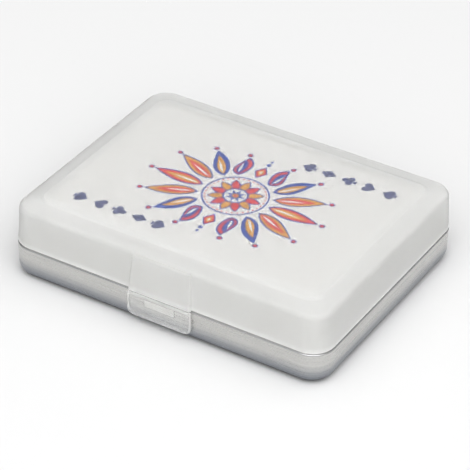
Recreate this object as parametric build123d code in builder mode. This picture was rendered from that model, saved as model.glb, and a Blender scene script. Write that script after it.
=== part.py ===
from build123d import *
import os
from math import cos, radians, sin, tan

# A gift case for one deck of playing cards: a pressed aluminium tray shell, a moulded liner that holds
# the deck in it, and a frosted lid on a living hinge, closed by a flap that hangs from the lid's front.
# The origin is on the surface that the case stands on, under its centre. +X runs along the long side,
# -Y is the front with the latch, +Z is up. All sizes are in millimetres and degrees.

# Playing cards
card_length = 88.0
card_width = 63.0
card_corner = 3.5
card_thickness = 0.30
card_pitch = 0.31
cards_per_suit = 13

# Room around the deck, out to the case's outline where the lid meets the shell
end_margin = 6.25
side_margin = 7.0
case_corner = 6.8

# Aluminium shell
shell_height = 10.0
shell_wall = 0.8
shell_draft = 1.0
shell_bottom_radius = 3.3
rim_chamfer = 0.15
notch_fit = 0.2

# Liner
liner_floor = 1.2
liner_wall = 1.2
liner_foot_height = 3.2
liner_deck_thickness = 1.2
liner_flange_thickness = 0.4
liner_flange_inset = 0.4
liner_fit = 0.2
card_fit = 0.5
rib_thickness = 1.0
long_ribs = 2
cross_ribs = 3
land_root = 2.0
fence_length = 60.0
fence_height = 9.5
fence_corner = 3.0

# Lid
lid_wall = 1.0
lid_draft = 3.25
lid_seat_gap = 0.05
lid_edge_chamfer = 0.1
lid_bead_proud = 0.15
lid_bead_height = 0.35
lip_height = 1.3
lip_thickness = 1.6
ledge_rise = 1.0
panel_step = 0.35
panel_margin = 0.3
panel_ramp = 1.0
panel_recess_fit = 0.35
shoulder_radius = 1.4
deck_play = 0.15

# Latch: the pad on the lid, the flap under it and the catch on the liner
pad_proud = 0.9
pad_foot_width = 20.1
pad_head_width = 18.8
pad_head_drop = 0.3
pad_foot_drop = 0.35
pad_corner = 0.8
pad_lean = 6.5
pad_fit = 0.2
flap_foot_width = 20.4
flap_thickness = 0.75
flap_foot_height = 2.4
flap_corner = 2.0
flap_hinge_gap = 0.28
flap_web_thickness = 0.2
flap_web_side = 1.2
latch_round = 0.2
catch_width = 9.3
catch_height = 2.2
catch_drop = 1.5
catch_proud = 0.5
catch_face_gap = 0.1
catch_swing_gap = 0.35

# Living hinge at the back
hinge_length = 60.0
hinge_proud = 0.6
hinge_web_thickness = 0.25
hinge_web_bore = 0.15

# Heights that follow, from the surface upwards
deck_base = shell_wall + liner_foot_height + liner_floor
card_count = 4 * cards_per_suit + 2
deck_top = deck_base + card_count * card_pitch
panel_under = deck_top + deck_play
panel_top = panel_under + lid_wall
ledge_inner = panel_top - panel_step
ledge_outer = ledge_inner - ledge_rise
liner_top = shell_height + liner_flange_thickness
liner_deck_under = liner_top - liner_deck_thickness
lid_foot = liner_top + lid_seat_gap
lip_top = lid_foot + lip_height
hinge_height = (liner_top + lid_foot) / 2

# Plan sizes that follow
case_length = card_length + 2 * end_margin
case_width = card_width + 2 * side_margin
half_width = case_width / 2
inner_radius = shell_bottom_radius - shell_wall
inner_half_turn = 90 / 6
inner_flat = inner_radius * tan(radians(inner_half_turn))
inner_slope = inner_radius - inner_flat
shoulder_inset = lid_bead_proud + (ledge_outer - lid_foot) * tan(radians(lid_draft))
lip_inset = lid_bead_proud + lip_height * tan(radians(lid_draft))
ledge_reach = panel_margin + panel_ramp
latch_face = half_width + pad_proud
hinge_face = half_width + hinge_proud
pad_foot = lid_foot - pad_foot_drop
pad_head = ledge_outer - pad_head_drop
flap_head = pad_foot - flap_hinge_gap
catch_face = half_width + catch_proud
catch_top = shell_height - catch_drop
catch_foot = catch_top - catch_height
pocket_length = card_length + 2 * card_fit
pocket_width = card_width + 2 * card_fit
pocket_corner = card_corner + card_fit
spare = 2.0
search_margin = 0.01


def case_level(height, inset):
    """The case's outline at a height, drawn in by an inset, as a level for tapered_block."""
    return height, case_length - 2 * inset, case_width - 2 * inset, case_corner - inset


def tapered_block(*levels):
    """A block through rounded rectangles, each given as height, length, width and corner radius."""
    with BuildPart() as block:
        for height, length, width, corner in levels:
            with BuildSketch(Plane.XY.offset(height)):
                RectangleRounded(length, width, corner)
        loft(ruled=True)
    return block.part


def card_level(height, reach):
    """The card's outline at a height, let out by a reach, as a level for tapered_block."""
    return height, card_length + 2 * reach, card_width + 2 * reach, card_corner + reach


def shell_inset(height):
    """How far the shell's outer face has drawn in from the case's outline at a height."""
    return (shell_height - rim_chamfer - height) * tan(radians(shell_draft))


# Aluminium shell: a pressed pan with a large round at its foot and two notches in its rim. Inside, two
# flats follow the round, so the wall, the flats and the floor meet at three turns of 30 degrees.
with BuildPart() as shell_hollow:
    add(tapered_block(
        case_level(shell_wall, shell_wall + shell_inset(0) + inner_slope),
        case_level(shell_wall + inner_flat, shell_wall + shell_inset(0) + inner_flat),
        case_level(shell_wall + inner_slope, shell_wall + shell_inset(shell_wall + inner_slope)),
        case_level(shell_height + spare, shell_wall + shell_inset(shell_height + spare)),
    ))

with BuildPart() as aluminium_shell:
    add(tapered_block(
        case_level(0, shell_inset(0)),
        case_level(shell_height - rim_chamfer, 0),
        case_level(shell_height, rim_chamfer),
    ))
    fillet(aluminium_shell.faces().sort_by(Axis.Z)[0].edges(), shell_bottom_radius)
    add(shell_hollow.part, mode=Mode.SUBTRACT)
    with BuildSketch(Plane.XZ.offset(half_width - spare)):
        with Locations((0, shell_height)):
            Rectangle(catch_width + 2 * notch_fit, 2 * (shell_height - catch_foot + notch_fit))
    extrude(amount=2 * spare, mode=Mode.SUBTRACT)
    with BuildSketch(Plane.XZ.offset(-half_width - spare)):
        with Locations((0, shell_height)):
            Rectangle(hinge_length + 2 * notch_fit, 2 * (shell_height - liner_deck_under + notch_fit))
    extrude(amount=2 * spare, mode=Mode.SUBTRACT)

# Liner: a deck plate on the shell's rim, a card pocket hung in it on ribs, fences, catch and hinge land
liner_inset = shell_wall + liner_fit
with BuildPart() as inner_tray:
    add(tapered_block(
        case_level(liner_deck_under, liner_inset + shell_inset(liner_deck_under)),
        case_level(liner_top, liner_inset),
    ))
    with BuildSketch(Plane.XY.offset(shell_height)):
        RectangleRounded(
            case_length - 2 * liner_flange_inset,
            case_width - 2 * liner_flange_inset,
            case_corner - liner_flange_inset,
        )
    extrude(amount=liner_flange_thickness)
    with BuildSketch(Plane.XY.offset(deck_base - liner_floor)):
        RectangleRounded(
            pocket_length + 2 * liner_wall,
            pocket_width + 2 * liner_wall,
            pocket_corner + liner_wall,
        )
    extrude(amount=liner_top - deck_base + liner_floor)
    with BuildSketch(Plane.XY.offset(liner_top)) as fences:
        for side in (-1, 1):
            with Locations((0, side * (pocket_width + liner_wall) / 2)):
                Rectangle(fence_length, liner_wall)
    extrude(amount=fence_height)
    fillet(inner_tray.edges().filter_by(Axis.Y).group_by(Axis.Z)[-1], fence_corner)
    with BuildSketch(Plane.XY.offset(deck_base)):
        RectangleRounded(pocket_length, pocket_width, pocket_corner)
    extrude(amount=liner_top - deck_base + fence_height + spare, mode=Mode.SUBTRACT)
    with BuildSketch(Plane.XY.offset(shell_wall)):
        with GridLocations(0, card_width / long_ribs, 1, long_ribs):
            Rectangle(card_length, rib_thickness)
        with GridLocations(card_length / cross_ribs, 0, cross_ribs, 1):
            Rectangle(rib_thickness, card_width)
    extrude(amount=liner_foot_height)
    with BuildSketch(Plane.XZ.offset(half_width - land_root)):
        with Locations((0, catch_foot)):
            Rectangle(catch_width, liner_top - catch_foot, align=(Align.CENTER, Align.MIN))
    extrude(amount=land_root - shell_inset(catch_foot))
    with BuildSketch(Plane.XZ.offset(half_width - land_root)):
        with Locations((0, catch_foot)):
            Rectangle(catch_width, catch_height, align=(Align.CENTER, Align.MIN))
    extrude(amount=land_root + catch_proud)
    with BuildSketch(Plane.XY.offset(liner_deck_under)):
        with Locations((0, half_width - land_root)):
            Rectangle(hinge_length, land_root + hinge_proud, align=(Align.CENTER, Align.MIN))
    extrude(amount=liner_deck_thickness)

# Lid: a drafted cover with a beaded foot, a thick lip, a sloping ledge and a panel on a ramp over the card
with BuildPart() as lid_hollow:
    add(tapered_block(case_level(lid_foot - spare, lip_thickness), case_level(lip_top, lip_thickness)))
    add(tapered_block(
        case_level(lip_top, lip_inset + lid_wall),
        case_level(ledge_outer - lid_wall, shoulder_inset + lid_wall),
        card_level(ledge_inner - lid_wall, ledge_reach),
    ))
    add(tapered_block(
        card_level(ledge_outer - lid_wall, panel_recess_fit),
        card_level(panel_under, panel_recess_fit),
    ))

# The pad leans back until its head runs out in the shoulder, and its foot hangs in front of the shell
with BuildPart() as latch_pad:
    with BuildSketch(Plane.XZ.offset(half_width - 2 * lid_wall)):
        with BuildLine():
            Polyline(
                (-pad_foot_width / 2, pad_foot),
                (pad_foot_width / 2, pad_foot),
                (pad_head_width / 2, pad_head),
                (-pad_head_width / 2, pad_head),
                close=True,
            )
        make_face()
    extrude(amount=2 * lid_wall + pad_proud)
    lean = radians(pad_lean)
    split(bisect_by=Plane(origin=(0, -latch_face, pad_foot), z_dir=(0, cos(lean), -sin(lean))))
    front = latch_pad.faces().sort_by(Axis.Y)[0]
    fillet(front.edges().sort_by(Axis.Z)[1:], pad_corner)
    fillet(latch_pad.faces().sort_by(Axis.Z)[0].edges().sort_by(Axis.Y)[0], latch_round)
    add(
        tapered_block(case_level(lid_foot - spare, -pad_fit), case_level(lid_foot, -pad_fit)),
        mode=Mode.SUBTRACT,
    )

with BuildPart() as lid:
    add(tapered_block(
        case_level(lid_foot, lid_edge_chamfer),
        case_level(lid_foot + lid_edge_chamfer, 0),
        case_level(lid_foot + lid_bead_height, lid_bead_proud),
        case_level(ledge_outer, shoulder_inset),
        card_level(ledge_inner, ledge_reach),
        card_level(panel_top, panel_margin),
    ))
    near_shoulder = (ledge_outer - search_margin, ledge_outer + search_margin)
    fillet(lid.edges().filter_by_position(Axis.Z, *near_shoulder), shoulder_radius)
    add(latch_pad.part)
    with BuildSketch(Plane.XY.offset(lid_foot)):
        with Locations((0, half_width - lid_wall)):
            Rectangle(hinge_length, lid_wall + hinge_proud, align=(Align.CENTER, Align.MIN))
    extrude(amount=lip_height)
    add(lid_hollow.part, mode=Mode.SUBTRACT)

# Latch flap: hangs from the pad over the shell's wall, with a pocket that takes the catch
with BuildPart() as latch_flap:
    with BuildSketch(Plane.XZ.offset(latch_face)):
        with BuildLine():
            Polyline(
                (-flap_foot_width / 2, flap_foot_height),
                (flap_foot_width / 2, flap_foot_height),
                (pad_foot_width / 2, flap_head),
                (-pad_foot_width / 2, flap_head),
                close=True,
            )
        flap_face = make_face()
        fillet(flap_face.vertices().group_by(Axis.Y)[0], flap_corner)
    extrude(amount=-flap_thickness)
    fillet(latch_flap.faces().sort_by(Axis.Y)[0].edges(), latch_round)
    with BuildSketch(Plane.XZ.offset(catch_face + catch_face_gap)):
        with Locations((0, catch_foot - notch_fit)):
            Rectangle(
                catch_width + 2 * notch_fit,
                catch_height + notch_fit + catch_swing_gap,
                align=(Align.CENTER, Align.MIN),
            )
    extrude(amount=-flap_thickness, mode=Mode.SUBTRACT)

# Living hinge webs: the thin strips that bend, at the back of the lid and at the head of the flap
with BuildPart() as lid_hinge_web:
    with BuildSketch(Plane.YZ.offset(-hinge_length / 2)):
        with Locations((hinge_face, hinge_height)):
            Circle(hinge_web_bore + hinge_web_thickness)
            Circle(hinge_web_bore, mode=Mode.SUBTRACT)
            Rectangle(spare, 2 * spare, align=(Align.MAX, Align.CENTER), mode=Mode.SUBTRACT)
    extrude(amount=hinge_length)

with BuildPart() as latch_hinge_web:
    with BuildSketch(Plane.XZ.offset(latch_face - latch_round)):
        with Locations((0, flap_head)):
            Rectangle(
                pad_foot_width - 2 * flap_web_side,
                flap_hinge_gap,
                align=(Align.CENTER, Align.MIN),
            )
    extrude(amount=flap_web_thickness / 2, both=True)


def card_packet(first, count):
    """Cards from one place in the deck upwards, squared up as one packet."""
    with BuildPart() as packet:
        with BuildSketch(Plane.XY.offset(deck_base + first * card_pitch)):
            RectangleRounded(card_length, card_width, card_corner)
        extrude(amount=(count - 1) * card_pitch + card_thickness)
    return packet


# The deck, from the pocket's floor upwards
bottom_card = card_packet(0, 1)
club_cards = card_packet(1, cards_per_suit)
diamond_cards = card_packet(1 + cards_per_suit, cards_per_suit)
heart_cards = card_packet(1 + 2 * cards_per_suit, cards_per_suit)
spade_cards = card_packet(1 + 3 * cards_per_suit, cards_per_suit)
top_card = card_packet(1 + 4 * cards_per_suit, 1)

pieces = {
    "aluminium_shell": aluminium_shell,
    "inner_tray": inner_tray,
    "lid": lid,
    "latch_flap": latch_flap,
    "lid_hinge_web": lid_hinge_web,
    "latch_hinge_web": latch_hinge_web,
    "bottom_card": bottom_card,
    "club_cards": club_cards,
    "diamond_cards": diamond_cards,
    "heart_cards": heart_cards,
    "spade_cards": spade_cards,
    "top_card": top_card,
}
os.makedirs("parts", exist_ok=True)
for name, piece in pieces.items():
    piece.part.label = name
    export_step(piece.part, "parts/" + name + ".step")
print("closed height", round(panel_top, 2), "deck", round(deck_base, 2), "to", round(deck_top, 2))
print("lid hinge axis y", round(hinge_face, 3), "z", round(hinge_height, 3))
print("flap hinge axis y", round(-(latch_face - latch_round), 3), "z", round(flap_head + flap_hinge_gap / 2, 3))
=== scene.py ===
# %% [markdown]
# # A gift case for playing cards
# The real thing is a shallow pan of pressed aluminium with a frosted plastic lid on a living
# hinge. A deck of cards lies in a moulded tray inside, and the top card shows through the lid's
# panel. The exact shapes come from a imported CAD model, the frame. This lesson adds what CAD leaves
# out: the finishes, the separate cards, the printing on the top card, the light and the camera.

import math

import bmesh
import bpy
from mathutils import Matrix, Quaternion, Vector
from mathutils.geometry import delaunay_2d_cdt


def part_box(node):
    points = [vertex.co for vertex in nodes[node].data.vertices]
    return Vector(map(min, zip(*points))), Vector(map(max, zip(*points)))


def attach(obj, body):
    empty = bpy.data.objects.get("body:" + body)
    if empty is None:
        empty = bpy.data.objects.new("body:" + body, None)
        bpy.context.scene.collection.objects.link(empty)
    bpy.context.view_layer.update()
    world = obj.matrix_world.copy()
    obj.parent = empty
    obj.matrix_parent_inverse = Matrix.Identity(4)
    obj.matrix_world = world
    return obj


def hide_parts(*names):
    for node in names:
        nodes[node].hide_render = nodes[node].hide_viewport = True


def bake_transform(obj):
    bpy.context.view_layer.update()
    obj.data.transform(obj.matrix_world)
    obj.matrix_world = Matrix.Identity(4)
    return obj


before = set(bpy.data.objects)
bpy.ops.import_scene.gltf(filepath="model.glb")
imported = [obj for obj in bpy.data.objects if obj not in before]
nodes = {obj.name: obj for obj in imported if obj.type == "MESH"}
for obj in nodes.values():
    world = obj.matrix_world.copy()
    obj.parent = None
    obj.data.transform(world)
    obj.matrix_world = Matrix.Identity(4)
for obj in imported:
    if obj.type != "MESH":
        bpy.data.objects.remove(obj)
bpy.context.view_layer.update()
scene = bpy.context.scene
print("nodes:", sorted(nodes))

# %% [markdown]
# ## Units and the card's size
# The scene is in metres, as the frame is, but a case like this is thought of in millimetres. One
# small constant keeps every size below readable. The card's size could be typed in. It is read
# from the frame, so that the print and the finish of the lid's panel always fit the solid card.

# %% Millimetres and the card
MM = 0.001
card_low, card_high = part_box("top_card")
card_length = card_high.x - card_low.x
card_width = card_high.y - card_low.y
CARD_CORNER = 3.5 * MM
print("card", round(card_length / MM, 1), "x", round(card_width / MM, 1), "mm")

# %% [markdown]
# ## Camera
# The photograph was taken from the front right and above, from about 0.7 m away with a long lens.
# The camera could be aimed by eye. Fitting its place, turn, small roll and focal length to the
# card, the seam and the outline of the case comes far closer. The lens is given in pixels of the
# 470 pixel picture, so it is turned into millimetres for a 36 mm wide sensor.

# %% Camera at the photograph's viewing angle
PICTURE_SIZE = 470
SENSOR_WIDTH = 36.0
FOCAL_IN_PIXELS = 2406.9
CAMERA_PLACE = Vector((285.9, -476.8, 393.0)) * MM
CAMERA_AZIMUTH = 30.94
CAMERA_ELEVATION = 34.64
CAMERA_ROLL = 1.07
NEAREST_SEEN = 0.05
FARTHEST_SEEN = 20


def photo_camera():
    azimuth, elevation = math.radians(CAMERA_AZIMUTH), math.radians(CAMERA_ELEVATION)
    look = Vector((
        -math.sin(azimuth) * math.cos(elevation),
        math.cos(azimuth) * math.cos(elevation),
        -math.sin(elevation),
    ))
    lens = bpy.data.cameras.new("photo_camera")
    lens.sensor_width = SENSOR_WIDTH
    lens.lens = SENSOR_WIDTH * FOCAL_IN_PIXELS / PICTURE_SIZE
    lens.clip_start = NEAREST_SEEN
    lens.clip_end = FARTHEST_SEEN
    camera = bpy.data.objects.new("photo_camera", lens)
    scene.collection.objects.link(camera)
    camera.location = CAMERA_PLACE
    camera.rotation_mode = "QUATERNION"
    camera.rotation_quaternion = (
        Quaternion(look, -math.radians(CAMERA_ROLL)) @ look.to_track_quat("-Z", "Y")
    )
    return camera


scene.camera = photo_camera()
print("lens", round(scene.camera.data.lens, 1), "mm")

# %% [markdown]
# ## Light and floor
# The photograph is a catalogue picture: a white sweep, soft light from above and all round, and a
# shadow that is dark only where the pan curves away from the table. A sky that is brightest
# overhead and dim at the horizon makes that shadow. Toward the back left it is dimmer again, as if
# a dark board stood there, so the far faces and the left corner fall off. One wide softbox at the
# front right, more than a metre away, lifts the near walls. The Standard view keeps white as
# white. Its gamma is set a little below one, which deepens the greys and leaves white alone, as a
# print does. Light reaches the card only through two skins of the lid and back, so it may bounce
# many times.

# %% Sky
SKY_AT_HORIZON = 0.43
SKY_OVERHEAD = 1.29
SHADED_SIDE = Vector((-0.85, 0.53, 0.0))
SHADED_SHARE = 0.4


def overhead_sky():
    """Brightest overhead, dim at the horizon, and dimmer again toward the shaded side."""
    sky = bpy.data.worlds.new("sky")
    sky.use_nodes = True
    tree = sky.node_tree
    direction = tree.nodes.new("ShaderNodeTexCoord")
    axes = tree.nodes.new("ShaderNodeSeparateXYZ")
    ramp = tree.nodes.new("ShaderNodeMapRange")
    ramp.inputs["To Min"].default_value = SKY_AT_HORIZON
    ramp.inputs["To Max"].default_value = SKY_OVERHEAD
    tree.links.new(direction.outputs["Generated"], axes.inputs["Vector"])
    tree.links.new(axes.outputs["Z"], ramp.inputs["Value"])
    toward = tree.nodes.new("ShaderNodeVectorMath")
    toward.operation = "DOT_PRODUCT"
    toward.inputs[1].default_value = SHADED_SIDE
    tree.links.new(direction.outputs["Generated"], toward.inputs[0])
    flag = tree.nodes.new("ShaderNodeMapRange")
    flag.inputs["To Min"].default_value = 1.0
    flag.inputs["To Max"].default_value = SHADED_SHARE
    tree.links.new(toward.outputs["Value"], flag.inputs["Value"])
    dimmed = tree.nodes.new("ShaderNodeMath")
    dimmed.operation = "MULTIPLY"
    tree.links.new(ramp.outputs["Result"], dimmed.inputs[0])
    tree.links.new(flag.outputs["Result"], dimmed.inputs[1])
    tree.nodes["Background"].inputs["Color"].default_value = (1.0, 1.0, 1.0, 1.0)
    tree.links.new(dimmed.outputs["Value"], tree.nodes["Background"].inputs["Strength"])
    return sky


scene.world = overhead_sky()
print("sky", SKY_AT_HORIZON, "at the horizon,", SKY_OVERHEAD, "overhead")

# %% Softbox and view
SOFTBOX_PLACE = Vector((0.56, -0.94, 1.04))
SOFTBOX_SIZE = 1.8
SOFTBOX_POWER = 16.0
PRINT_CONTRAST = 0.75
DIFFUSE_BOUNCES = 8
THROUGH_BOUNCES = 16
ALL_BOUNCES = 24


def softbox_at_the_front():
    lamp = bpy.data.lights.new("softbox", "AREA")
    lamp.size = SOFTBOX_SIZE
    lamp.energy = SOFTBOX_POWER
    softbox = bpy.data.objects.new("softbox", lamp)
    scene.collection.objects.link(softbox)
    softbox.location = SOFTBOX_PLACE
    softbox.rotation_mode = "QUATERNION"
    softbox.rotation_quaternion = (-SOFTBOX_PLACE).to_track_quat("-Z", "Y")
    print("softbox", round(SOFTBOX_PLACE.length, 2), "m away")


softbox_at_the_front()
scene.view_settings.view_transform = "Standard"
scene.view_settings.gamma = PRINT_CONTRAST
scene.cycles.diffuse_bounces = DIFFUSE_BOUNCES
scene.cycles.transmission_bounces = THROUGH_BOUNCES
scene.cycles.max_bounces = ALL_BOUNCES

# %% Floor
FLOOR_SIZE = 6.0
FLOOR_SHADE = 0.8
FLOOR_ROUGHNESS = 0.9


def pale_floor():
    half = FLOOR_SIZE / 2
    corners = [(-half, -half, 0), (half, -half, 0), (half, half, 0), (-half, half, 0)]
    sheet = bpy.data.meshes.new("floor")
    sheet.from_pydata(corners, [], [(0, 1, 2, 3)])
    floor = bpy.data.objects.new("floor", sheet)
    scene.collection.objects.link(floor)
    paint = bpy.data.materials.new("floor")
    paint.use_nodes = True
    shader = paint.node_tree.nodes["Principled BSDF"]
    shader.inputs["Base Color"].default_value = (FLOOR_SHADE, FLOOR_SHADE, FLOOR_SHADE, 1)
    shader.inputs["Roughness"].default_value = FLOOR_ROUGHNESS
    sheet.materials.append(paint)
    print("floor", FLOOR_SIZE, "m wide")


pale_floor()

# %% [markdown]
# ## Material helpers
# Every finish is a small node tree around one Principled shader. A few helpers keep the trees
# short. The noise is laid on Object coordinates, which are in metres, so a scale of 1000 gives
# grains of about a millimetre. A value handed to a helper may be a plain number or colour, or
# another socket. Noise hardly ever reaches 0 or 1, so its middle part is spread over the range
# that is wanted.

# %% Nodes and sockets


def feed(tree, socket, value):
    """Link a socket, or set a plain value on it."""
    if isinstance(value, bpy.types.NodeSocket):
        tree.links.new(value, socket)
    else:
        socket.default_value = (*value, 1) if socket.type == "RGBA" else value


def add_node(tree, kind, **sockets):
    """A new node with its sockets fed. An underscore stands for a space in a socket's name."""
    made = tree.nodes.new(kind)
    for name, value in sockets.items():
        feed(tree, made.inputs[name.replace("_", " ")], value)
    return made


def new_finish(name):
    """A material, its node tree and the shader in it."""
    finish = bpy.data.materials.new(name)
    finish.use_nodes = True
    return finish, finish.node_tree, finish.node_tree.nodes["Principled BSDF"]


# %% Noise, masks and mixes
NOISE_LOW = 0.3
NOISE_HIGH = 0.7
# The places of the colour sockets on a Mix node, which has several sockets of each name.
MIX_SHARE, MIX_FIRST, MIX_SECOND, MIX_RESULT = 0, 6, 7, 2


def grain(tree, scale, detail=2.0, stretch=(1, 1, 1)):
    place = add_node(tree, "ShaderNodeTexCoord")
    mapping = add_node(
        tree, "ShaderNodeMapping", Vector=place.outputs["Object"], Scale=stretch
    ).outputs["Vector"]
    return add_node(
        tree, "ShaderNodeTexNoise", Vector=mapping, Scale=scale, Detail=detail
    ).outputs["Fac"]


def height_above_table(tree):
    place = add_node(tree, "ShaderNodeTexCoord")
    return add_node(tree, "ShaderNodeSeparateXYZ", Vector=place.outputs["Object"]).outputs["Z"]


def step(tree, source, start, end):
    """0 before start, 1 after end, smooth between."""
    ramp = add_node(tree, "ShaderNodeMapRange", Value=source, From_Min=start, From_Max=end)
    ramp.interpolation_type = "SMOOTHSTEP"
    return ramp.outputs["Result"]


def spread(tree, source, low, high):
    """Noise spread over the range from low to high."""
    return add_node(
        tree, "ShaderNodeMapRange", Value=source,
        From_Min=NOISE_LOW, From_Max=NOISE_HIGH, To_Min=low, To_Max=high,
    ).outputs["Result"]


def blend_of(tree, mask, at_zero, at_one):
    return add_node(
        tree, "ShaderNodeMapRange", Value=mask, To_Min=at_zero, To_Max=at_one
    ).outputs["Result"]


def tint(tree, source, first, second):
    mix = tree.nodes.new("ShaderNodeMix")
    mix.data_type = "RGBA"
    feed(tree, mix.inputs[MIX_SHARE], source)
    feed(tree, mix.inputs[MIX_FIRST], first)
    feed(tree, mix.inputs[MIX_SECOND], second)
    return mix.outputs[MIX_RESULT]


def sum_of(tree, first, second):
    total = tree.nodes.new("ShaderNodeMath")
    total.operation = "ADD"
    feed(tree, total.inputs[0], first)
    feed(tree, total.inputs[1], second)
    return total.outputs[0]


def bumps(tree, source, depth, strength):
    return add_node(
        tree, "ShaderNodeBump", Height=source, Strength=strength, Distance=depth
    ).outputs["Normal"]


# %% [markdown]
# ## Frosted plastic
# The lid is one moulding of polypropylene. Its walls were spark eroded, which makes them milky:
# what lies behind is only a soft shade. The lip at its foot is twice as thick and milkier still.
# The panel over the card was polished finer, so the card shows through it. A cloudy volume inside
# the walls would be closest to the real thing, but it is slow and grainy to render. So one shader
# on the skin does all three: its colour, transmission and roughness follow masks, two over the
# card and one by height. The milk sets in just inside the card's edge and hides it. The roughness
# has a step of its own, so long that it is already half done over the middle of the card. A
# smoother panel would be clearer, but the change to the rough walls would then draw a line round
# it. The flap is the same plastic, but thin and polished, so the catch behind it shows. Light
# gathers in its edges and in its thick head; that glow is painted, as a whiter, less clear skin
# there. The index of refraction is kept low: the two skins of a wall then send little light back,
# and the white card under the panel stays bright.

# %% Where the plastic is milky
LIP_TOP = 11.9 * MM
LIP_FADE = 0.6 * MM
LEDGE_FROM = 21.4 * MM
LEDGE_SHARE = 0.5
FLAP_HEAD = 8.6 * MM
EDGE_FADE = 0.8 * MM
flap_low, flap_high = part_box("latch_flap")


def outside_the_card(tree, starts, full):
    """0 inside and 1 outside, with the step between two distances from the card's edge.

    Inside the edge the distance is negative. Deeper in than the card's corner radius it stays the
    same, because it is measured from a smaller rectangle, which gives it the card's round corners.
    """
    place = add_node(tree, "ShaderNodeTexCoord")
    folded = tree.nodes.new("ShaderNodeVectorMath")
    folded.operation = "ABSOLUTE"
    beyond = tree.nodes.new("ShaderNodeVectorMath")
    beyond.operation = "SUBTRACT"
    kept = tree.nodes.new("ShaderNodeVectorMath")
    kept.operation = "MAXIMUM"
    away = tree.nodes.new("ShaderNodeVectorMath")
    away.operation = "LENGTH"
    tree.links.new(place.outputs["Object"], folded.inputs[0])
    tree.links.new(folded.outputs["Vector"], beyond.inputs[0])
    half_length, half_width = card_length / 2 - CARD_CORNER, card_width / 2 - CARD_CORNER
    beyond.inputs[1].default_value = (half_length, half_width, 1)
    tree.links.new(beyond.outputs["Vector"], kept.inputs[0])
    tree.links.new(kept.outputs["Vector"], away.inputs[0])
    return step(tree, away.outputs["Value"], CARD_CORNER + starts, CARD_CORNER + full)


def lip_and_ledge(tree):
    """1 in the lip, half in the sloping ledge round the panel."""
    height = height_above_table(tree)
    ledge_mask = step(tree, height, LEDGE_FROM, LEDGE_FROM + LIP_FADE)
    ledge = blend_of(tree, ledge_mask, 0.0, LEDGE_SHARE)
    return sum_of(tree, step(tree, height, LIP_TOP, LIP_TOP - LIP_FADE), ledge)


# Painted glow: the flap's edges and head get the whiter, less clear skin.
def edges_of_the_flap(tree):
    """1 near the sides and the foot of the flap and in its head."""
    place = add_node(tree, "ShaderNodeTexCoord")
    axes = add_node(tree, "ShaderNodeSeparateXYZ", Vector=place.outputs["Object"])
    x, z = axes.outputs["X"], axes.outputs["Z"]
    left = step(tree, x, flap_low.x + EDGE_FADE, flap_low.x)
    right = step(tree, x, flap_high.x - EDGE_FADE, flap_high.x)
    foot = step(tree, z, flap_low.z + EDGE_FADE, flap_low.z)
    head = step(tree, z, FLAP_HEAD, FLAP_HEAD + LIP_FADE)
    return sum_of(tree, sum_of(tree, left, right), sum_of(tree, foot, head))


print("flap", round((flap_high.x - flap_low.x) / MM, 1), "mm wide")

# %% Frosted plastic
PANEL_COLOUR = (0.99, 0.99, 0.985)
MILK_COLOURS = ((0.9, 0.9, 0.89), (0.925, 0.925, 0.92))
FLAP_COLOURS = ((0.97, 0.97, 0.965), (0.985, 0.985, 0.98))
# On the flap this colour is also the painted glow in its edges and head.
HEAVY_COLOUR = (0.96, 0.96, 0.955)
SKIN_INDEX = 1.12
PANEL_TRANSMISSION = 0.92
WALL_TRANSMISSION = 0.64
LIP_TRANSMISSION = 0.56
FLAP_TRANSMISSION = 0.77
FLAP_HEAD_TRANSMISSION = 0.62
FLAP_ROUGHNESS = 0.1
PANEL_ROUGHNESS = 0.26
WALL_ROUGHNESS = 0.42
SKIN_GRAIN = 9000
SKIN_WAVER = 0.015
CLOUD_GRAIN = 60
MILK_STARTS = -2.4 * MM
MILK_FULL = -0.4 * MM
COARSE_STARTS = -6.5 * MM
COARSE_FULL = -0.4 * MM


def frosted_plastic(name, heavy_mask, milks, plain, heavy, roughness):
    """Clear over the card. Elsewhere it transmits plain, or heavy where the mask is 1."""
    finish, tree, shader = new_finish(name)
    milky = outside_the_card(tree, MILK_STARTS, MILK_FULL)
    coarse = outside_the_card(tree, COARSE_STARTS, COARSE_FULL)
    mask = heavy_mask(tree)
    skin = spread(tree, grain(tree, SKIN_GRAIN), -SKIN_WAVER, SKIN_WAVER)
    cloud = spread(tree, grain(tree, CLOUD_GRAIN), 0, 1)
    milk = tint(tree, mask, tint(tree, cloud, *milks), HEAVY_COLOUR)
    feed(tree, shader.inputs["Base Color"], tint(tree, milky, PANEL_COLOUR, milk))
    feed(tree, shader.inputs["Transmission Weight"],
         blend_of(tree, milky, PANEL_TRANSMISSION, blend_of(tree, mask, plain, heavy)))
    feed(tree, shader.inputs["Roughness"],
         sum_of(tree, blend_of(tree, coarse, PANEL_ROUGHNESS, roughness), skin))
    shader.inputs["IOR"].default_value = SKIN_INDEX
    return finish


frosted = frosted_plastic(
    "frosted_plastic",
    lip_and_ledge,
    MILK_COLOURS,
    WALL_TRANSMISSION,
    LIP_TRANSMISSION,
    WALL_ROUGHNESS,
)
frosted_flap = frosted_plastic(
    "frosted_flap_plastic",
    edges_of_the_flap,
    FLAP_COLOURS,
    FLAP_TRANSMISSION,
    FLAP_HEAD_TRANSMISSION,
    FLAP_ROUGHNESS,
)
print(frosted.name, "transmits", PANEL_TRANSMISSION, "in the panel")
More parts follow.
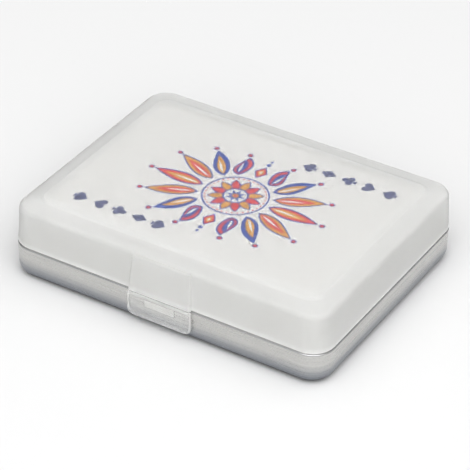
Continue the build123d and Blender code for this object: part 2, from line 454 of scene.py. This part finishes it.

# %% [markdown]
# ## Satin aluminium
# The pan is pressed from sheet and then blasted very finely, so it is satin with no mirror in it.
# Toward the foot its colour is painted darker and a little blue, and darkest in a thin band at the
# tightest turn, above the flat base. This is painted reflection of the dark surroundings that
# curved metal reflects, and painted contact shade in the band. Dark boards round the table could
# give it, but a tone that follows the height looks the same from every side. The top of the rim
# under the lid is painted darker, as painted shade in the seam. The rolling of the sheet still
# shows as faint streaks along the walls, and the streaks and the blast make the roughness waver.

# %% Satin aluminium
# The foot's tones are painted reflection of dark surroundings, darker and bluer than the wall.
FOOT_SHADE_TONES = ((0.33, 0.345, 0.375), (0.38, 0.395, 0.42))
WALL_TONES = ((0.625, 0.62, 0.61), (0.685, 0.68, 0.665))
# Painted contact shade for the thin band at the tightest turn.
CONTACT_SHADE_TONE = (0.11, 0.115, 0.13)
# Painted shade of the seam under the lid.
SEAM_SHADE_TONE = (0.48, 0.48, 0.485)
BASE_BELOW = 0.15 * MM
BEND_TURNS = 0.45 * MM
BEND_FROM = 0.95 * MM
BEND_ENDS = 1.7 * MM
DARK_BELOW = 1.6 * MM
PLAIN_ABOVE = 7.0 * MM
RIM_FROM = 9.5 * MM
RIM_FULL = 9.75 * MM
STREAK_GRAIN = 400
STREAK_DETAIL = 3
STREAK_STRETCH = (0.06, 0.06, 3)
STREAK_ROUGHNESS = (0.26, 0.31)
BLAST_GRAIN = 8000
BLAST_WAVER = 0.02
BLAST_DEPTH = 0.003 * MM
BLAST_STRENGTH = 0.2


def satin_aluminium():
    finish, tree, shader = new_finish("satin_aluminium")
    height = height_above_table(tree)
    streaks = spread(tree, grain(tree, STREAK_GRAIN, STREAK_DETAIL, STREAK_STRETCH), 0, 1)
    blast = grain(tree, BLAST_GRAIN)
    foot = tint(tree, streaks, *FOOT_SHADE_TONES)
    wall = tint(tree, streaks, *WALL_TONES)
    # Painted reflection: the colour turns darker and bluer toward the foot.
    with_foot_shade = tint(tree, step(tree, height, DARK_BELOW, PLAIN_ABOVE), foot, wall)
    above_the_base = step(tree, height, BASE_BELOW, BEND_TURNS)
    # Painted contact shade: a thin band near black at the tightest turn.
    contact_shade_band = blend_of(tree, step(tree, height, BEND_ENDS, BEND_FROM), 0.0, above_the_base)
    with_contact_shade = tint(tree, contact_shade_band, with_foot_shade, CONTACT_SHADE_TONE)
    # Painted seam shade: the top of the rim is darker under the lid.
    rim = step(tree, height, RIM_FROM, RIM_FULL)
    feed(tree, shader.inputs["Base Color"], tint(tree, rim, with_contact_shade, SEAM_SHADE_TONE))
    feed(tree, shader.inputs["Roughness"],
         sum_of(tree, blend_of(tree, streaks, *STREAK_ROUGHNESS),
                spread(tree, blast, -BLAST_WAVER, BLAST_WAVER)))
    feed(tree, shader.inputs["Normal"], bumps(tree, blast, BLAST_DEPTH, BLAST_STRENGTH))
    shader.inputs["Metallic"].default_value = 1.0
    return finish


aluminium = satin_aluminium()
print(aluminium.name, "has", len(aluminium.node_tree.nodes), "nodes")

# %% [markdown]
# ## Tray plastic
# The tray is the same polypropylene in natural white, moulded thicker and smoother than the lid.
# So little light gets through it that it is made opaque, with a colour that hardly varies.

# %% Tray plastic
TRAY_TONES = ((0.70, 0.70, 0.685), (0.74, 0.74, 0.725))
TRAY_ROUGHNESS = (0.36, 0.46)
TRAY_GRAIN = 900


def tray_plastic():
    finish, tree, shader = new_finish("tray_plastic")
    skin = grain(tree, TRAY_GRAIN)
    feed(tree, shader.inputs["Base Color"], tint(tree, skin, *TRAY_TONES))
    feed(tree, shader.inputs["Roughness"], spread(tree, skin, *TRAY_ROUGHNESS))
    return finish


moulding = tray_plastic()
print(moulding.name, "has", len(moulding.node_tree.nodes), "nodes")

# %% [markdown]
# ## Card stock and inks
# A playing card is coated board: white, very faintly fibrous, with a light sheen. Ink on it keeps
# that sheen, and its density wavers a little, as in offset printing. One recipe makes them all,
# from the two ends of each colour's range.

# %% Card stock and inks
CARD_ROUGHNESS = (0.38, 0.48)
FIBRE_GRAIN = 1500
FIBRE_DETAIL = 3


def card_finish(name, first, second):
    finish, tree, shader = new_finish(name)
    fibre = grain(tree, FIBRE_GRAIN, FIBRE_DETAIL)
    feed(tree, shader.inputs["Base Color"], tint(tree, spread(tree, fibre, 0, 1), first, second))
    feed(tree, shader.inputs["Roughness"], spread(tree, fibre, *CARD_ROUGHNESS))
    return finish


stock = card_finish("card_stock", (0.80, 0.795, 0.785), (0.825, 0.82, 0.81))
INKS = {
    "red": card_finish("red_ink", (0.70, 0.05, 0.065), (0.76, 0.06, 0.08)),
    "orange": card_finish("orange_ink", (0.71, 0.36, 0.06), (0.76, 0.40, 0.08)),
    "blue": card_finish("blue_ink", (0.02, 0.08, 0.40), (0.03, 0.095, 0.46)),
    "slate": card_finish("slate_ink", (0.08, 0.10, 0.24), (0.10, 0.12, 0.29)),
}
print("finishes:", len(bpy.data.materials))

# %% [markdown]
# ## The pieces that come from the frame
# The shell, the tray, the lid and the flap are finished solids: their rounds, ribs and walls are
# in the CAD already. They could be modelled again, but all that they lack is a finish. So each
# keeps its own mesh, and its material slot gets the new finish.

# %% Finish of the pieces that come from the frame
for name, finish in (
    ("aluminium_shell", aluminium),
    ("inner_tray", moulding),
    ("lid", frosted),
    ("latch_flap", frosted_flap),
):
    nodes[name].material_slots[0].material = finish
    print(name, "is", finish.name)

# %% [markdown]
# ## Making a mesh
# Every new piece is plain mesh data placed where the CAD says, in an object that stays at the
# origin. This helper turns lists of points and faces into such an object. A piece may carry
# several finishes, and then each face is given the number of its own.

# %% Mesh helper


def new_piece(name, points, faces, finishes, finish_numbers=None):
    mesh = bpy.data.meshes.new(name)
    mesh.from_pydata(points, [], faces)
    for finish in finishes:
        mesh.materials.append(finish)
    if finish_numbers:
        mesh.polygons.foreach_set("material_index", finish_numbers)
    mesh.update()
    piece = bpy.data.objects.new(name, mesh)
    scene.collection.objects.link(piece)
    print(name, len(mesh.polygons), "faces")
    return piece


# %% [markdown]
# ## The deck below the top card
# A deck is one card repeated, so it is a job for Geometry Nodes: a rounded rectangle is filled,
# given its thickness and set on a column of points, one point for each card. Cards never lie quite
# square, so each point slips and each card turns by a small random amount. The seed is fixed, so
# the deck is the same each time. An Array modifier or a loop in the script could do it too, but
# the tree keeps the rule in one place, with an input for each size.

# %% One card, as nodes
CORNER_STEPS = 6
SAME_POINT = 0.001 * MM


def join_up(tree, source, source_socket, target, target_socket):
    tree.links.new(source.outputs[source_socket], target.inputs[target_socket])


def one_card(tree, sizes):
    """A rectangle with round corners, filled, extruded to its thickness and closed underneath."""
    outline = tree.nodes.new("GeometryNodeCurvePrimitiveQuadrilateral")
    join_up(tree, sizes, "Card Length", outline, "Width")
    join_up(tree, sizes, "Card Width", outline, "Height")
    rounded = tree.nodes.new("GeometryNodeFilletCurve")
    rounded.mode = "POLY"
    rounded.inputs["Count"].default_value = CORNER_STEPS
    join_up(tree, outline, "Curve", rounded, "Curve")
    join_up(tree, sizes, "Corner", rounded, "Radius")
    face = tree.nodes.new("GeometryNodeFillCurve")
    face.mode = "NGONS"
    join_up(tree, rounded, "Curve", face, "Curve")
    thick = tree.nodes.new("GeometryNodeExtrudeMesh")
    thick.inputs["Individual"].default_value = False
    join_up(tree, face, "Mesh", thick, "Mesh")
    join_up(tree, sizes, "Thickness", thick, "Offset Scale")
    back = tree.nodes.new("GeometryNodeFlipFaces")
    join_up(tree, face, "Mesh", back, "Mesh")
    both = tree.nodes.new("GeometryNodeJoinGeometry")
    join_up(tree, back, "Mesh", both, "Geometry")
    join_up(tree, thick, "Mesh", both, "Geometry")
    card = tree.nodes.new("GeometryNodeMergeByDistance")
    card.inputs["Distance"].default_value = SAME_POINT
    join_up(tree, both, "Geometry", card, "Geometry")
    return card


# %% The column of cards, as nodes


def column_of_points(tree, sizes):
    """One point for each card, a pitch apart."""
    base = tree.nodes.new("ShaderNodeCombineXYZ")
    rise = tree.nodes.new("ShaderNodeCombineXYZ")
    join_up(tree, sizes, "Base", base, "Z")
    join_up(tree, sizes, "Pitch", rise, "Z")
    column = tree.nodes.new("GeometryNodeMeshLine")
    join_up(tree, sizes, "Cards", column, "Count")
    join_up(tree, base, "Vector", column, "Start Location")
    join_up(tree, rise, "Vector", column, "Offset")
    return column


def chance_of(tree, sizes, amount):
    """A random vector for each card, between minus and plus one of the sizes."""
    lowest = tree.nodes.new("ShaderNodeVectorMath")
    lowest.operation = "SCALE"
    lowest.inputs["Scale"].default_value = -1
    join_up(tree, sizes, amount, lowest, 0)
    chance = tree.nodes.new("FunctionNodeRandomValue")
    chance.data_type = "FLOAT_VECTOR"
    join_up(tree, lowest, "Vector", chance, 0)
    join_up(tree, sizes, amount, chance, 1)
    join_up(tree, sizes, "Seed", chance, "Seed")
    return chance


# %% The whole deck, as a node tree


def deck_tree():
    tree = bpy.data.node_groups.new("deck_of_cards", "GeometryNodeTree")
    for name, kind in (
        ("Card Length", "Float"), ("Card Width", "Float"), ("Corner", "Float"),
        ("Thickness", "Float"), ("Base", "Float"), ("Pitch", "Float"), ("Cards", "Int"),
        ("Slip", "Vector"), ("Turn", "Vector"), ("Seed", "Int"), ("Stock", "Material"),
    ):
        tree.interface.new_socket(name, in_out="INPUT", socket_type="NodeSocket" + kind)
    tree.interface.new_socket("Deck", in_out="OUTPUT", socket_type="NodeSocketGeometry")
    sizes = tree.nodes.new("NodeGroupInput")
    result = tree.nodes.new("NodeGroupOutput")
    card = one_card(tree, sizes)
    slipped = tree.nodes.new("GeometryNodeSetPosition")
    join_up(tree, column_of_points(tree, sizes), "Mesh", slipped, "Geometry")
    join_up(tree, chance_of(tree, sizes, "Slip"), 0, slipped, "Offset")
    dealt = tree.nodes.new("GeometryNodeInstanceOnPoints")
    join_up(tree, slipped, "Geometry", dealt, "Points")
    join_up(tree, card, "Geometry", dealt, "Instance")
    join_up(tree, chance_of(tree, sizes, "Turn"), 0, dealt, "Rotation")
    real = tree.nodes.new("GeometryNodeRealizeInstances")
    join_up(tree, dealt, "Instances", real, "Geometry")
    painted = tree.nodes.new("GeometryNodeSetMaterial")
    join_up(tree, real, "Geometry", painted, "Geometry")
    join_up(tree, sizes, "Stock", painted, "Material")
    join_up(tree, painted, "Geometry", result, "Deck")
    return tree


# %% [markdown]
# ## From node tree to plain mesh
# The tree's inputs are set by the identifier of each socket, since two sockets may share a name.
# The evaluated result is then copied into a plain mesh, and the modifier goes. It could stay live,
# but an ordinary mesh is simpler to give a body and to export.

# %% Deal the deck
CARD_PITCH = 0.31 * MM
CARDS_UNDER_THE_TOP = 53
SLIP = 0.16 * MM
TURN = math.radians(0.12)
DECK_SEED = 11
deck_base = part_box("bottom_card")[0].z


def mesh_from_tree(name, tree, **values):
    carrier = bpy.data.objects.new(name, bpy.data.meshes.new(name))
    scene.collection.objects.link(carrier)
    modifier = carrier.modifiers.new(name, "NODES")
    modifier.node_group = tree
    for item in tree.interface.items_tree:
        if item.in_out == "INPUT":
            modifier[item.identifier] = values[item.name.replace(" ", "_").lower()]
    evaluated = carrier.evaluated_get(bpy.context.evaluated_depsgraph_get())
    carrier.data = bpy.data.meshes.new_from_object(evaluated)
    carrier.modifiers.remove(modifier)
    print(name, len(carrier.data.polygons), "faces")
    return carrier


deck = mesh_from_tree(
    "deck_below_the_top_card",
    deck_tree(),
    card_length=card_length,
    card_width=card_width,
    corner=CARD_CORNER,
    thickness=card_high.z - card_low.z,
    base=deck_base,
    pitch=CARD_PITCH,
    cards=CARDS_UNDER_THE_TOP,
    slip=(SLIP, SLIP, 0),
    turn=(0, 0, TURN),
    seed=DECK_SEED,
    stock=stock,
)
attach(deck, "case")
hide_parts("bottom_card", "club_cards", "diamond_cards", "heart_cards", "spade_cards")

# %% [markdown]
# ## Shapes to print with
# The top card carries a bright two-way design, the same when the card is turned upside down. It is
# drawn as flat outlines in millimetres, each with its ink. A few plain shapes are enough: discs,
# stars, lozenges, leaves, and the four suit signs, which are as old as the cards. An image would
# blur when it is seen close up, and outlines stay sharp.

# %% Plain outlines
DISC_STEPS = 36
LEAF_STEPS = 12
LEAF_LEAN = 0.8
LEAF_FULLNESS = 0.9


def arc(centre, radius, start, stop, steps):
    outline = []
    for i in range(steps + 1):
        turn = math.radians(start + (stop - start) * i / steps)
        outline.append((centre[0] + radius * math.cos(turn), centre[1] + radius * math.sin(turn)))
    return outline


def disc(centre, radius, steps=DISC_STEPS):
    return arc(centre, radius, 0, 360, steps)[:-1]


def star(points, outer, inner):
    corners = []
    for i in range(2 * points):
        radius = outer if i % 2 == 0 else inner
        angle = math.radians(180 * i / points)
        corners.append((radius * math.cos(angle), radius * math.sin(angle)))
    return corners


def lozenge(centre, length, height):
    x, y = centre
    return [(x - length / 2, y), (x, y - height / 2), (x + length / 2, y), (x, y + height / 2)]


def moved(outline, turn, shift=(0.0, 0.0), size=1.0):
    """An outline made larger, turned by some degrees and then shifted."""
    c, s = math.cos(math.radians(turn)) * size, math.sin(math.radians(turn)) * size
    return [(c * x - s * y + shift[0], s * x + c * y + shift[1]) for x, y in outline]


def leaf(length, width, bow=0.0):
    """A pointed leaf along +X from the origin, whose tip is bowed sideways."""
    upper, lower = [], []
    for i in range(LEAF_STEPS + 1):
        t = i / LEAF_STEPS
        swell = math.sin(math.pi * t ** LEAF_LEAN) ** LEAF_FULLNESS if 0 < t < 1 else 0.0
        half = width / 2 * swell
        middle = bow * math.sin(math.pi * t / 2) ** 2
        upper.append((length * t, middle + half))
        lower.append((length * t, middle - half))
    return lower + upper[-2:0:-1]


print("a leaf has", len(leaf(1.0, 0.5)), "points")

# %% [markdown]
# ## The suit signs
# Each sign is about one unit wide, so that a row of them can be set at any size. A spade is a
# heart upside down on a stem, and a club is three discs on the same stem. The heart is a known
# curve, a sum of four cosines.

# %% Suit signs
HEART_STEPS = 32
HEART_WAVES = (13, -5, -2, -1)
HEART_SCALE = 16
CLUB_DISCS = ((0, 0.24), (-0.25, -0.12), (0.25, -0.12))
CLUB_RADIUS = 0.23
STEM = [(-0.22, -0.56), (0.22, -0.56), (0.07, -0.34), (0.04, 0.0), (-0.04, 0.0), (-0.07, -0.34)]


def heart_outline():
    outline = []
    for i in range(HEART_STEPS):
        t = 2 * math.pi * i / HEART_STEPS
        waves = [size * math.cos((n + 1) * t) for n, size in enumerate(HEART_WAVES)]
        outline.append((math.sin(t) ** 3 / 2, sum(waves) / HEART_SCALE / 2))
    return outline


heart_sign = [heart_outline()]
spade_sign = [moved(heart_outline(), 180, (0, -0.02), 0.98), STEM]
club_sign = [disc(centre, CLUB_RADIUS, 20) for centre in CLUB_DISCS]
club_sign += [STEM, lozenge((0, 0), 0.3, 0.4)]
diamond_sign = [lozenge((0, 0), 0.86, 1.12)]
print("a club is", len(club_sign), "outlines")

# %% [markdown]
# ## The design
# A rosette sits at the centre with a fan of seven blades to each side, and a lozenge with beads
# fills the space above and below. Every blade is built up in layers: a dark key line, a bright
# band, a second band and a light vein. Shapes later in the list lie over earlier ones, as inks do.
# Each is printed a second time, turned by half a turn, so the card reads the same both ways.

# %% The rosette
PETALS = 12
PETAL_INKS = ("red", "orange")
KEY_PETAL_ROOT, KEY_PETAL_LENGTH, KEY_PETAL_WIDTH = 2.9, 5.2, 3.0
PETAL_ROOT, PETAL_LENGTH, PETAL_WIDTH = 3.0, 4.7, 2.3
RING_OUTSIDE, RING_INSIDE, RING_STEPS = 9.6, 9.15, 72
RING_BEADS = 36
BEAD_CIRCLE, BEAD_RADIUS, BEAD_STEPS = 8.6, 0.28, 10
EYE_OUTSIDE, EYE_INSIDE = 3.7, 3.25
EYE_STAR_POINTS, EYE_STAR_OUTER, EYE_STAR_INNER = 8, 3.1, 1.35
MIDDLE = (0, 0)


def out_along(turn, distance, start=MIDDLE):
    """The point at a distance from the start, in the direction of the turn."""
    return moved([(distance, 0)], turn, start)[0]


def petal_ring(inks, root, length, width):
    shapes = []
    for i in range(PETALS):
        turn = 360 * i / PETALS
        petal = moved(leaf(length, width), turn, out_along(turn, root))
        shapes.append((inks[i % len(inks)], petal))
    return shapes


def rosette():
    shapes = [
        ("blue", disc(MIDDLE, RING_OUTSIDE, RING_STEPS)),
        ("stock", disc(MIDDLE, RING_INSIDE, RING_STEPS)),
    ]
    for i in range(RING_BEADS):
        place = out_along(360 * (i + 0.5) / RING_BEADS, BEAD_CIRCLE)
        shapes.append(("red", disc(place, BEAD_RADIUS, BEAD_STEPS)))
    shapes += petal_ring(("blue",), KEY_PETAL_ROOT, KEY_PETAL_LENGTH, KEY_PETAL_WIDTH)
    shapes += petal_ring(PETAL_INKS, PETAL_ROOT, PETAL_LENGTH, PETAL_WIDTH)
    shapes += [
        ("blue", disc(MIDDLE, EYE_OUTSIDE)),
        ("stock", disc(MIDDLE, EYE_INSIDE)),
        ("blue", star(EYE_STAR_POINTS, EYE_STAR_OUTER, EYE_STAR_INNER)),
        ("orange", disc(MIDDLE, 1.0, 24)),
        ("red", disc(MIDDLE, 0.5, 16)),
    ]
    return shapes


print("rosette:", len(rosette()), "shapes")

# %% The blades, the lozenge and the row of signs
BLADES_EACH_WAY = 3
BLADE_TURN = 21.0
BLADE_ROOT = 10.6
BLADE_LENGTH = 16.0
BLADE_SHORTER = 0.75
BLADE_BOW = 0.9
BLADE_BANDS = (("red", "orange"), ("orange", "red"), ("blue", "orange"), ("red", "blue"))
# For the key line, the two bands and the vein: the share of the blade's length, the length taken
# off, the width, the share of the blade's bow, and where the layer starts.
BLADE_LAYERS = (
    (1.0, 0.0, 5.0, 1.0, 0.0),
    (1.0, 1.4, 4.1, 0.95, 0.6),
    (0.72, 0.0, 2.5, 0.7, 1.0),
    (0.5, 0.0, 0.8, 0.35, 1.6),
)
TIP_GAP = 1.1
TIP_BEADS = (("blue", 0.85, 18), ("red", 0.55, 16))
LOZENGE_PLACE = (0, 13.8)
LOZENGE_BANDS = (("blue", 4.0, 6.4), ("red", 3.2, 5.2), ("orange", 2.0, 3.4), ("stock", 0.9, 1.6))
DROPS = ((18.2, 0.7), (20.0, 0.45))
DROP_STEPS = 16
ROW_START = (-35.6, -23.6)
ROW_STEP = 6.4
ROW_SIZE = 4.3


def fan():
    shapes = []
    for away in range(-BLADES_EACH_WAY, BLADES_EACH_WAY + 1):
        turn = away * BLADE_TURN
        root = out_along(turn, BLADE_ROOT)
        length = BLADE_LENGTH - BLADE_SHORTER * away * away
        bow = away * BLADE_BOW
        inks = ("blue", *BLADE_BANDS[abs(away)], "stock")
        for ink, (share, less, width, bow_share, start) in zip(inks, BLADE_LAYERS):
            layer = leaf(length * share - less, width, bow * bow_share)
            shapes.append((ink, moved(layer, turn, out_along(turn, start, root))))
        tip = moved([(length + TIP_GAP, bow)], turn, root)[0]
        shapes += [(ink, disc(tip, radius, steps)) for ink, radius, steps in TIP_BEADS]
    return shapes


def lozenge_and_drops():
    shapes = []
    for ink, length, height in LOZENGE_BANDS:
        shapes.append((ink, lozenge(LOZENGE_PLACE, length, height)))
    for place, radius in DROPS:
        shapes.append(("blue", disc((0, place), radius, DROP_STEPS)))
    return shapes


def sign_row():
    shapes = []
    for i, sign in enumerate((spade_sign, heart_sign, club_sign, diamond_sign, spade_sign)):
        place = (ROW_START[0] + i * ROW_STEP, ROW_START[1])
        shapes += [("slate", moved(outline, -90, place, ROW_SIZE)) for outline in sign]
    return shapes


half_design = fan() + lozenge_and_drops() + sign_row()
design = half_design + [(ink, moved(outline, 180)) for ink, outline in half_design] + rosette()
print("shapes in the design:", len(design))

# %% [markdown]
# ## Printing the card
# The ink is cut into the card's own top face rather than laid over it, so it has no thickness and
# no image is needed. A constrained triangulation takes all outlines at once and tells, for each
# triangle, which of them it lies in. The last of these gives the ink.

# %% Print the top card
INK_ORDER = ("stock", "red", "orange", "blue", "slate")
EDGE_STEPS = 12
INSIDE_ONLY = 1
CUT_PRECISION = 1e-5


def rounded_rectangle(length, width, corner):
    outline = []
    for quarter, (x, y) in enumerate(((1, 1), (-1, 1), (-1, -1), (1, -1))):
        centre = (x * (length / 2 - corner), y * (width / 2 - corner))
        outline += arc(centre, corner, 90 * quarter, 90 * quarter + 90, EDGE_STEPS)
    return outline


def runs_left(outline):
    """True where an outline runs anticlockwise, which is how the triangulation expects it."""
    after = outline[1:] + outline[:1]
    return sum(a[0] * b[1] - b[0] * a[1] for a, b in zip(outline, after)) > 0


def printed_card():
    """The top face in its inks, with plain edges and a plain underside."""
    edge = rounded_rectangle(card_length / MM, card_width / MM, CARD_CORNER / MM)
    outlines = [("stock", edge)] + design
    points, loops = [], []
    for _, outline in outlines:
        loops.append(list(range(len(points), len(points) + len(outline))))
        points += [Vector(point) for point in (outline if runs_left(outline) else outline[::-1])]
    placed, _, triangles, sources, _, owners = delaunay_2d_cdt(
        points, [], loops, INSIDE_ONLY, CUT_PRECISION
    )
    top, base = card_high.z, card_low.z
    corners = [(p.x * MM, p.y * MM, top) for p in placed]
    inks = [INK_ORDER.index(outlines[max(owner)][0]) for owner in owners]
    faces = [list(triangle) for triangle in triangles]
    rim = [next(i for i, source in enumerate(sources) if n in source) for n in loops[0]]
    under = list(range(len(corners), len(corners) + len(rim)))
    corners += [(corners[i][0], corners[i][1], base) for i in rim]
    for i in range(len(rim)):
        after = (i + 1) % len(rim)
        faces.append([rim[after], rim[i], under[i], under[after]])
        inks.append(0)
    faces.append(under[::-1])
    inks.append(0)
    finishes = [stock] + [INKS[ink] for ink in INK_ORDER[1:]]
    return new_piece("printed_top_card", corners, faces, finishes, inks)


top_card = printed_card()
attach(top_card, "case")
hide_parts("top_card")

# %% [markdown]
# ## The webs that bend
# A living hinge is a web of the same plastic, thin enough to fold. At the back it is a half round
# between the tray's land and the lid's, and at the latch a short flat strip between pad and flap.
# Each is swept from a short row of points, with a thickness.

# %% Sweep a web


def swept_web(name, plastic, outer, inner, x_low, x_high):
    """A strip along X whose section runs between two rows of (y, z) points."""
    section = outer + inner[::-1]
    points = [(x, y, z) for x in (x_low, x_high) for y, z in section]
    count, row = len(section), len(outer)
    faces = [[i, (i + 1) % count, (i + 1) % count + count, i + count] for i in range(count)]
    for i in range(row - 1):
        quad = [i, i + 1, count - 2 - i, count - 1 - i]
        faces.append(quad[::-1])
        faces.append([n + count for n in quad])
    web = new_piece(name, points, faces, [plastic])
    shape = bmesh.new()
    shape.from_mesh(web.data)
    bmesh.ops.recalc_face_normals(shape, faces=shape.faces)
    shape.to_mesh(web.data)
    shape.free()
    return web


# %% The web at the back
WEB_THICKNESS = 0.25 * MM
WEB_STEPS = 16
hinge_low, hinge_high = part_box("lid_hinge_web")
hinge_axis = (hinge_high.y - (hinge_high.z - hinge_low.z) / 2, (hinge_low.z + hinge_high.z) / 2)
hinge_radius = hinge_high.y - hinge_axis[0]


def half_round(radius):
    """Points on the rear half of a circle round the hinge's axis, from the bottom to the top."""
    return arc(hinge_axis, radius, -90, 90, WEB_STEPS)


back_web = swept_web(
    "lid_web",
    frosted,
    half_round(hinge_radius),
    half_round(hinge_radius - WEB_THICKNESS),
    hinge_low.x,
    hinge_high.x,
)
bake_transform(back_web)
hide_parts("lid_hinge_web")

# %% The web at the latch
strip_low, strip_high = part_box("latch_hinge_web")
strip_drop = strip_low.z - strip_high.z
strip_heights = [strip_high.z + strip_drop * i / WEB_STEPS for i in range(WEB_STEPS + 1)]
front_web = swept_web(
    "latch_web",
    frosted_flap,
    [(strip_low.y, z) for z in strip_heights],
    [(strip_high.y, z) for z in strip_heights],
    strip_low.x,
    strip_high.x,
)
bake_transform(front_web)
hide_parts("latch_hinge_web")
